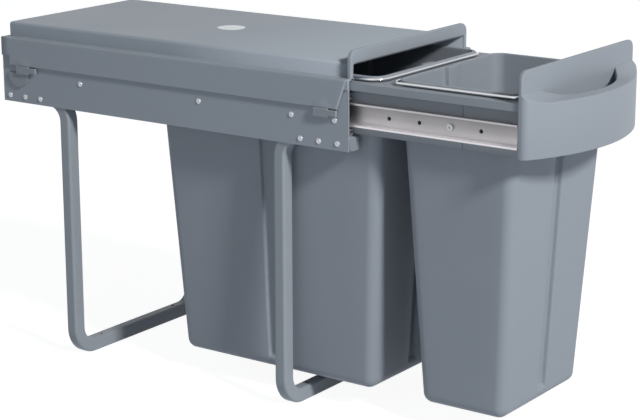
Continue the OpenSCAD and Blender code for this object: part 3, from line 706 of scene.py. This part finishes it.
def arch(half_w, bottom, top, r):
    """A line up one side, over round shoulders and down; its points match at any size."""
    side = np.stack([np.full(5, half_w), np.linspace(bottom, top - r, 5)], 1)
    return both_sides(np.concatenate([side, arc((half_w - r, top - r), r, 0, 90, 13)[1:]]))


def bar_section(length, depth, r, steps=5):
    """A rectangle with round corners, (along, across), whose radius stays r at any length."""
    corners = [((length - r, depth - r), 0), ((r, depth - r), 90), ((r, r), 180),
               ((length - r, r), 270)]
    return np.concatenate([arc(c, r, a, a + 90, steps) for c, a in corners])


outer = arch(crown_x + STILE_OUT, ledge_z - STILE_LOW, lid_high[2], SHOULDER_R)
inner = arch(crown_x - LAP, ledge_z - STILE_LOW, crown_z - LAP, OPENING_R)
bar_l = np.linalg.norm(outer - inner, axis=1, keepdims=True)
mouth_rows = []
for start, toward, length in zip(inner, (outer - inner) / bar_l, bar_l[:, 0]):
    section = bar_section(length, PORTAL_T, BAR_R)
    mouth_rows.append(at_depth(start + toward * section[:, :1], lid_low[1] + section[:, 1]))
mouth = make_object("lid_mouth", [closed_shell(np.stack(mouth_rows))])
finish_piece(mouth, "lid", ["lid"], "lid_plastic")

# %% [markdown]
# ## Bins
# A bin is a tapered tub with round corners. One formula gives a ring for any height: half width,
# half length and corner radius shrink on the way down. The rings climb the outer wall, go over the
# rim and run down inside, so the wall has its real thickness. An upright groove stiffens a wall
# and stands out inside as a rib that reaches the rim. The rear bin has one in all four walls, the
# front bin only in its front and its back.

# %% Bins
BIN_WALL, RIM_OVER, RIM_H, RIM_R, RIM_SOFT, RIM_LIP = 2.0, 2.0, 5.8, 16.0, 1.0, 1.2
TOP_R, FOOT_R, FOOT_SHARE, DRAFT, FADE = 14.0, 12.0, 0.97, 19.5, 0.016
GROOVE_W, GROOVE_D = 17.5, 5.2
GROOVE_SIDE = np.array([[-1.1, 0.0], [-0.45, 0.035], [0.0, 0.16], [0.35, 0.5], [0.7, 0.84],
                        [1.15, 0.965], [1.8, 1.0]])


def groove_line(half, width, depth, count=5):
    """One straight wall from corner to corner, (along, inwards), with a groove in its middle."""
    edge = GROOVE_SIDE - [width / 2, 0.0]
    ends = np.linspace(-half, edge[0, 0], count)[:-1]
    line = both_sides(np.concatenate([np.stack([ends, 0 * ends], 1), edge]))
    return line * [1.0, depth]


def bin_ring(z, half_w, half_l, r, width, depth, shares):
    """A ring of the tub at height z: four straight walls and four round corners.

    shares says how much of the groove's depth the two side walls and the two end walls have.
    """
    ring = []
    for turn in range(4):
        reach, half = (half_w, half_l) if turn % 2 == 0 else (half_l, half_w)
        wall = groove_line(half - r, width, depth * shares[turn % 2])
        corner = arc((reach - r, half - r), r, 0, 90, 10)[1:-1]
        side = np.concatenate([np.stack([reach - wall[:, 1], wall[:, 0]], 1), corner])
        ring.append(turned_plan(side, 90 * turn))
    return at_height(np.concatenate(ring), z)


def wall_stations(low_z, top_z, inset, foot_r, ends):
    """Height, setback, corner radius and groove share of each ring of a wall.

    Above the round foot the setback is DRAFT (1 - share) + inset. The groove grows over the first
    FADE of the height, and with ends it also fades out over the last.
    """
    rows = []
    for rise, back in rounding(foot_r, 9):
        back *= FOOT_SHARE
        rows.append((low_z + rise, DRAFT + inset + back, FOOT_R - inset - back, 0.0))
    near = FADE * np.arange(1, 5) / 4
    for share in np.r_[near, 0.05, np.linspace(0.15, 0.85, 8), 0.95, 1 - near[::-1], 1.0]:
        fade = min(share / FADE, 1.0)
        if ends:
            fade = min(fade, (1 - share) / FADE)
        rows.append((low_z + foot_r + (top_z - low_z - foot_r) * share,
                     DRAFT * (1 - share) + inset, FOOT_R + (TOP_R - FOOT_R) * share - inset,
                     fade))
    return rows


def rim_stations(under, top):
    """(height, setback) round the rim: its outside from below, and the inner half of its top."""
    r, back = RIM_SOFT, RIM_OVER + BIN_WALL - RIM_SOFT
    outside = np.concatenate([[[RIM_LIP - RIM_OVER, under]], arc((-r, under + r), r, -90, 0, 4),
                              arc((-r, top - r), r, 0, 90, 5)])
    inside = arc((-back, top - r), r, 90, 180, 5)
    return outside[:, ::-1] * [1.0, -1.0], inside[:, ::-1] * [1.0, -1.0]


def bin_piece(name, body, shares):
    """Outer wall up, round the rim, inner wall down; inside, the groove is wider by two walls."""
    low, high = box_mm(name)
    full = (high - low) / 2
    wall = full - RIM_OVER
    under, rib_w = high[2] - RIM_H, GROOVE_W + 2 * BIN_WALL
    outside, inside = rim_stations(under, high[2])
    runs = [
        (wall, GROOVE_W, wall_stations(low[2], under, 0.0, FOOT_R, True)),
        (full, GROOVE_W, [(z, d, RIM_R - d, 0.0) for z, d in outside]),
        (full, rib_w, [(z, d, RIM_R - d, 1.0) for z, d in inside]),
        (wall, rib_w, wall_stations(low[2] + BIN_WALL, under, BIN_WALL, FOOT_R - BIN_WALL,
                                    False)[::-1]),
    ]
    rings = [bin_ring(z, half[0] - d, half[1] - d, r, width, GROOVE_D * share, shares)
             for half, width, stations in runs for z, d, r, share in stations]
    rows = np.stack(rings) + np.array([0.0, (high[1] + low[1]) / 2, 0.0])
    obj = make_object(name + "_shown", [closed_shell(rows)])
    finish_piece(obj, body, [name], "bin_plastic", 40)


bin_piece("bin_rear", "bin_rear", (1.0, 1.0))
bin_piece("bin_front", "bin_front", (0.0, 1.0))

# %% [markdown]
# ## Front panel
# The panel and its pull are one moulding, so both become one piece. The plate is flat, with round
# upper corners and soft edges: its outline is repeated at each depth, set in a little more towards
# the front and the back.

# %% Front panel plate
panel_low, panel_high = box_mm("front_panel")
PANEL_T, PANEL_R, PANEL_FOOT_R, PANEL_SOFT, PANEL_HOLD = 4.0, 10.0, 1.5, 0.8, 0.6
face_y = panel_high[1] - PANEL_T
panel_x = panel_high[0]


def plate_outline(inset):
    """The plate's outline, set in from its edge: a tight radius at the foot, a wide one above."""
    x, low, top = panel_x - inset, panel_low[2] + inset, panel_high[2] - inset
    r, foot_r = PANEL_R - inset, PANEL_FOOT_R
    foot = arc((x - foot_r, low + foot_r), foot_r, -90, 0, 5)
    return both_sides(np.concatenate([foot, arc((x - r, top - r), r, 0, 90, 13)]))


plate_steps = [(PANEL_SOFT, panel_high[1]), (0.25 * PANEL_SOFT, panel_high[1] - 0.25 * PANEL_SOFT),
               (0.0, panel_high[1] - PANEL_SOFT)]
plate_steps += [(inset, face_y + drop) for inset, drop in rounding(PANEL_SOFT, 6)]
plate_steps.append((PANEL_SOFT + PANEL_HOLD, face_y))
plate_shell = closed_shell(np.stack([at_depth(plate_outline(inset), y)
                                     for inset, y in plate_steps]))

# %% [markdown]
# ## Pull
# The pull bows out in front of the plate as a wide band. Its outer face is an arc in plan, its top
# is nearly flat and climbs the plate in a hollow fillet at both ends, and behind it lies a pocket
# for the fingers. An outer and an inner line give the plan. Each ring across the band joins one
# point of the first to one point of the second.

# %% Front panel pull
PULL_OUT, PULL_T, PULL_H, PULL_END, END_R = 39.5, 13.0, 59.5, 4.5, 8.0
POCKET_X, POCKET_FLOOR, TOP_SOFT, BASE_SOFT, SOFT_SHARE = 80.0, 7.0, 1.3, 1.0, 0.45
DIP, FALL, CLIMB, CLIMB_L, CLIMB_POWER, CLIMB_LOSS = 2.5, 1.2, 9.3, 20.0, 1.7, 2.5
BOW_IN, OUTER_IN, INNER_IN, INNER_END, SLAB_IN, SLAB_LOW = 0.5, 0.8, 1.9, 0.6, 1.0, 0.5
BOW_LINES, PULL_LINES = 80, 241


def circle_through(half, depth, front):
    """Radius and centre y of a plan circle through the front and (half, front + depth)."""
    r = (half ** 2 + depth ** 2) / (2 * depth)
    return r, front + r


front_y = face_y - PULL_OUT
bow_r, bow_y = circle_through(panel_x - BOW_IN, PULL_OUT - PULL_END, front_y)
pocket_r, pocket_y = circle_through(POCKET_X, PULL_OUT - PULL_T, front_y + PULL_T)


def outer_line():
    """Plan of the pull's outer face: a small arc off the panel's side, the bow, a small arc."""
    end_x = panel_x - END_R
    end_y = bow_y - np.sqrt((bow_r - END_R) ** 2 - end_x ** 2)
    turn = np.degrees(np.arctan2(end_y - bow_y, -end_x))
    corner = arc((-end_x, end_y), END_R, 180, 360 + turn, 16)
    bow = arc((0.0, bow_y), bow_r, turn, -180 - turn, BOW_LINES)
    end = np.concatenate([[[-panel_x, face_y + OUTER_IN]], corner])
    return spread(np.concatenate([end, bow[1:-1], end[::-1] * [-1.0, 1.0]]), PULL_LINES)


def inner_line():
    """Plan of the inner side: inside the plate up to the pocket, then round its circle."""
    y = face_y + INNER_IN
    turn = np.degrees(np.arctan2(y - pocket_y, -np.sqrt(pocket_r ** 2 - (y - pocket_y) ** 2)))
    bow = arc((0.0, pocket_y), pocket_r, turn, -180 - turn, BOW_LINES)
    end = np.array([[-panel_x + INNER_END, y]])
    return spread(np.concatenate([end, bow, end * [-1.0, 1.0]]), PULL_LINES)


def climb(x, y):
    """Height that the pull's top gains near the plate: c (1 - distance / CLIMB_L)^CLIMB_POWER.

    c is CLIMB at the panel's sides and CLIMB - CLIMB_LOSS from the pocket inwards.
    """
    near = np.clip(1 - np.clip(face_y - y, 0, None) / CLIMB_L, 0, 1) ** CLIMB_POWER
    inner = np.clip((panel_x - np.abs(x)) / (panel_x - POCKET_X), 0, 1)
    return (CLIMB - CLIMB_LOSS * inner) * near


def pull_rows(outer, inner):
    """Rings across the pull: foot, outer face, soft crease, top, soft inner edge, pocket side.

    A ring's points are given by their distance from the outer line and their height.
    """
    width = np.linalg.norm(inner - outer, axis=1)
    way = (inner - outer) / width[:, None]
    foot = panel_low[2]
    soft = np.minimum(TOP_SOFT, SOFT_SHARE * width)
    crease = [(inset, -drop) for inset, drop in rounding(soft, 6)]
    top = crease + [(soft + (width - 2 * soft) * share, 0.0)
                    for share in np.linspace(0.06, 0.94, 15)]
    top += [(width - d, drop) for d, drop in crease[::-1]]
    steps = [(width, foot), (BASE_SOFT, foot)]
    steps += [(inset, foot + rise) for rise, inset in rounding(BASE_SOFT, 4)]
    for d, drop in top:
        plan = outer + way * d[:, None]
        rise = FALL * np.clip(d / PULL_T, 0, 1) + climb(plan[:, 0], plan[:, 1])
        steps.append((d, foot + PULL_H - DIP + rise + drop))
    steps.append((width, foot + POCKET_FLOOR - 2))
    return np.stack([at_height(outer + way * np.reshape(d, (-1, 1)), z) for d, z in steps], 1)


def pocket_floor(line, top, foot):
    """A flat slab under the pocket: strips from its round side straight back into the plate."""
    back = np.column_stack([line[:, 0], np.full(len(line), face_y + SLAB_IN)])
    rim = np.concatenate([line, back[::-1]])
    n = len(line)
    strip = np.arange(n - 1)
    quads = np.stack([strip, strip + 1, 2 * n - 2 - strip, 2 * n - 1 - strip], 1)
    points = np.concatenate([at_height(rim, top), at_height(rim, foot)])
    return points, np.concatenate([quads, quads[:, ::-1] + 2 * n]).tolist()


in_line = inner_line()
pull_shell = closed_shell(pull_rows(outer_line(), in_line))
floor_shell = pocket_floor(in_line[np.abs(in_line[:, 0]) < POCKET_X],
                           panel_low[2] + POCKET_FLOOR, panel_low[2] + SLAB_LOW)
panel = make_object("front_panel_shown", [plate_shell, pull_shell, floor_shell])
finish_piece(panel, "carriage", ["front_panel"], "panel_plastic", 40)

# %% [markdown]
# ## Wire bails
# Each bin is lifted by a bail of bright round wire that is bent flat and lies on the rim. A circle
# is carried along the wire's middle line: in at one rim, along the arm, across, and back.

# %% Bails
WIRE_R, WIRE_SIDES, WIRE_GAP = 1.6, 20, 0.5
PIVOT_R, REACH_IN, FRONT_BAIL_R = 2.0, 3.8, 10.0


def wire_rows(line):
    """A circle of radius WIRE_R at each point (x, y) of a flat line, square to the line there."""
    ahead = np.gradient(line, axis=0)
    ahead /= np.linalg.norm(ahead, axis=1, keepdims=True)
    across = np.stack([-ahead[:, 1], ahead[:, 0]], 1)
    a = np.radians(np.arange(WIRE_SIDES) * 360.0 / WIRE_SIDES)[None, :, None]
    plan = line[:, None] + WIRE_R * across[:, None] * np.cos(a)
    height = np.broadcast_to(WIRE_R * np.sin(a), (len(line), WIRE_SIDES, 1))
    return np.concatenate([plan, height], 2)


def bail_line(half, arm, corner_r):
    """Middle line of a bail in its own plane: pivots on the X axis, crossbar at y = -arm."""
    start = [[half - PIVOT_R - REACH_IN, 0.0]]
    end = arc((half - PIVOT_R, -PIVOT_R), PIVOT_R, 90, 0, 8)
    corner = arc((half - corner_r, corner_r - arm), corner_r, 0, -90, 16)
    return both_sides(np.concatenate([start, end, corner]))


def bail_piece(name, body, turn, half, arm, corner_r, centre):
    """The bail in place: its own plane is turned about Z and moved to the bin's middle."""
    points, faces = closed_shell(wire_rows(bail_line(half, arm, corner_r)))
    points[:, :2] = turned_plan(points[:, :2], turn)
    obj = make_object(name + "_shown", [(points + np.array(centre), faces)])
    finish_piece(obj, body, [name], "wire_chrome", 60)


wire_z = box_mm("bail_rear")[0][2] + WIRE_R
rear_low, rear_high = box_mm("bin_rear")
front_low, front_high = box_mm("bin_front")
stand_off = WIRE_GAP + WIRE_R
across_half = rear_high[0] + stand_off
bail_piece("bail_rear", "bail_rear", 0, across_half,
           (rear_high[1] - rear_low[1]) / 2 + stand_off, RIM_R + stand_off,
           (0, (rear_high[1] + rear_low[1]) / 2, wire_z))
bail_piece("bail_front", "bail_front", -90, (front_high[1] - front_low[1]) / 2 + stand_off,
           across_half, FRONT_BAIL_R, (0, (front_high[1] + front_low[1]) / 2, wire_z))

# %% [markdown]
# ## Pieces shown as they are
# Ball cages, balls, screws and the blank disc on the lid are small turned or stamped forms whose
# CAD mesh needs no change. They only get their finish.

# %% CAD nodes that only need a finish
AS_THEY_ARE = {
    "cage_steel": ["outer_cage_left", "outer_cage_right", "inner_cage_left", "inner_cage_right"],
    "ball_steel": ["outer_balls", "inner_balls"],
    "rivet_steel": ["carrier_screws", "panel_screws"],
    "badge_film": ["lid_badge"],
}
for slot, names in AS_THEY_ARE.items():
    for name in names:
        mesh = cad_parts[name].data
        mesh.materials.clear()
        mesh.materials.append(FINISH[slot])

# %% [markdown]
# ## Camera
# The view was worked out from the photo's own edges: straight lines of known direction give the
# turn of the camera, and the sizes of the plates give its place. The matrix columns are the
# camera's right, up and backward directions.

# %% Camera
FOCAL_PIXELS, PICTURE_PIXELS, SENSOR_MM = 1923.5, 640, 36.0


def placed(right, up, back, place):
    """A world matrix from three directions and a place in metres."""
    matrix = np.eye(4)
    matrix[:3, :] = np.column_stack([right, up, back, place])
    return Matrix(matrix.tolist())


def camera_matrix(place, yaw, pitch, roll):
    """The camera's world matrix from its place in millimetres and three angles in degrees."""
    yaw, pitch, roll = np.radians([yaw, pitch, roll])
    ahead = np.array([-np.sin(yaw) * np.cos(pitch), np.cos(yaw) * np.cos(pitch), np.sin(pitch)])
    right = np.array([np.cos(yaw), np.sin(yaw), 0.0])
    up = np.cross(right, ahead)
    return placed(right * np.cos(roll) + up * np.sin(roll),
                  up * np.cos(roll) - right * np.sin(roll), -ahead, np.array(place) * MM)


scene = bpy.context.scene
camera_data = bpy.data.cameras.new("Camera")
camera_data.sensor_width = SENSOR_MM
camera_data.lens = FOCAL_PIXELS / PICTURE_PIXELS * SENSOR_MM
scene.camera = new_object("Camera", camera_data)
scene.camera.matrix_world = camera_matrix((-1765.2, -1384.2, 762.8), -54.546, -14.506, -0.165)
scene.view_settings.view_transform = "Standard"

# %% [markdown]
# ## Floor, world and lamps
# The unit stands on a pale floor in a white studio. The camera, mirrors and glass see white, while
# a weaker, cooler light from all round fills the shadows. One lamp high in front gives the faces
# their steps of tone, and a large weak one at the left lifts the long side.

# %% Floor and light
FLOOR_HALF = 6.0


def seen_directly(tree, at):
    """1 for a ray that the camera, a gloss or glass sends out, 0 for a ray of soft light."""
    path = add_node(tree, "ShaderNodeLightPath", at).outputs
    one = add_node(tree, "ShaderNodeMath", (at[0] + 200, at[1]),
                   {0: path["Is Camera Ray"], 1: path["Is Glossy Ray"]}, operation="ADD")
    two = add_node(tree, "ShaderNodeMath", (at[0] + 400, at[1]),
                   {0: one.outputs[0], 1: path["Is Transmission Ray"]}, operation="ADD",
                   use_clamp=True)
    return two.outputs[0]


def between(tree, at, share, low, high):
    """A colour that goes from low to high as share goes from 0 to 1.

    A colour mix has its two colours on the inputs 6 and 7 and its result on the output 2.
    """
    return add_node(tree, "ShaderNodeMix", at, {0: share, 6: (*low, 1), 7: (*high, 1)},
                    data_type="RGBA").outputs[2]


def studio_world(fill_light):
    """A world that is white when looked at or mirrored, and lights the unit with a weaker fill."""
    world = bpy.data.worlds.new("Studio")
    world.use_nodes = True
    tree = world.node_tree
    colour = between(tree, (-200, 0), seen_directly(tree, (-900, 0)), fill_light, (1, 1, 1))
    fill(tree, tree.nodes["Background"], {"Color": colour})
    return world


def floor_material(bounce, pale, glow):
    """A matt floor; looked at, it is pale with a glow, so it is white and its shadow is soft."""
    material = bpy.data.materials.new("Studio floor")
    material.use_nodes = True
    tree = material.node_tree
    seen = seen_directly(tree, (-1200, 0))
    fill(tree, tree.nodes["Principled BSDF"], {
        "Base Color": between(tree, (-400, 200), seen, bounce, pale),
        "Emission Color": between(tree, (-400, -200), seen, (0, 0, 0), glow),
        "Emission Strength": 1.0, "Roughness": 1.0, "Specular IOR Level": 0.0})
    return material


def add_lamp(name, place, aim, size, watts):
    """A square area lamp at a place that faces the aim."""
    data = bpy.data.lights.new(name, "AREA")
    data.shape, data.size, data.energy = "SQUARE", size, watts
    place, aim = np.array(place, float), np.array(aim, float)
    back = (place - aim) / np.linalg.norm(place - aim)
    side = np.cross((0.0, 0.0, 1.0), back)
    side /= np.linalg.norm(side)
    new_object(name, data).matrix_world = placed(side, np.cross(back, side), back, place)


scene.world = studio_world((0.14, 0.15, 0.165))
floor_mesh = bpy.data.meshes.new("Floor")
corners = [(x * FLOOR_HALF, y * FLOOR_HALF, 0) for x, y in ((-1, -1), (1, -1), (1, 1), (-1, 1))]
floor_mesh.from_pydata(corners, [], [(0, 1, 2, 3)])
floor = new_object("Floor", floor_mesh)
floor_mesh.materials.append(floor_material((0.62, 0.67, 0.73), (0.35, 0.35, 0.35),
                                           (0.92, 0.92, 0.92)))
add_lamp("Key", (-1.04, -3.3, 2.41), (0, -0.1, 0.25), 0.5, 99.0)
add_lamp("Side", (-3.5, -0.9, 0.7), (0, -0.1, 0.3), 2.0, 10.0)
